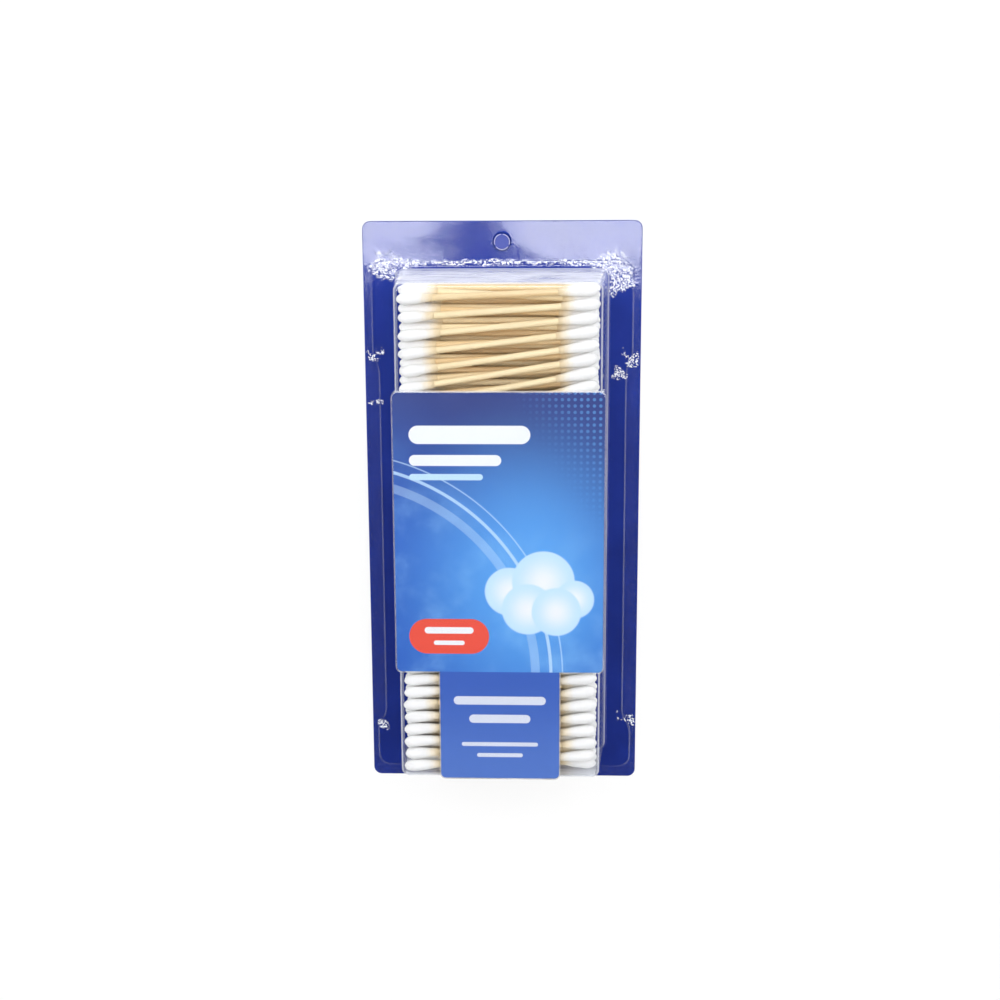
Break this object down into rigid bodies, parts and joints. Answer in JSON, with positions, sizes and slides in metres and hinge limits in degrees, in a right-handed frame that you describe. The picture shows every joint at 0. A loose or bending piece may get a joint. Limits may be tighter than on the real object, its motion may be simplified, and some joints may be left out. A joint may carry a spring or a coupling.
{
  "type": "cotton swab blister pack",
  "caption": "Sealed hanging pack of double-ended cotton swabs: a deep clear blister with a T-shaped label pocket, heat-sealed to a blue backing card with a hang hole.",
  "frame": {"origin": "middle of the backing card's back face, which the pack lies on", "axes": "+X across the pack, +Y up the pack towards the hang hole, +Z out of its front"},
  "size_m": [0.111, 0.232, 0.0439],
  "materials": {
    "card": "printed deep blue",
    "clear_film": "clear thermoformed film",
    "label": "printed blue fields",
    "stick": "plain pale wood",
    "cotton": "wound white cotton"
  },
  "bodies": {
    "root": {"backing_card": "card", "clear_blister": "clear_film", "label_card": "label", "sticks_layer_1": "stick", "sticks_layer_2": "stick", "sticks_layer_3": "stick", "sticks_layer_4": "stick", "sticks_layer_5": "stick", "sticks_layer_6": "stick", "sticks_layer_7": "stick", "sticks_layer_8": "stick", "sticks_layer_9": "stick", "cotton_tips_layer_1": "cotton", "cotton_tips_layer_2": "cotton", "cotton_tips_layer_3": "cotton", "cotton_tips_layer_4": "cotton", "cotton_tips_layer_5": "cotton", "cotton_tips_layer_6": "cotton", "cotton_tips_layer_7": "cotton", "cotton_tips_layer_8": "cotton", "cotton_tips_layer_9": "cotton"}
  },
  "joints": []
}
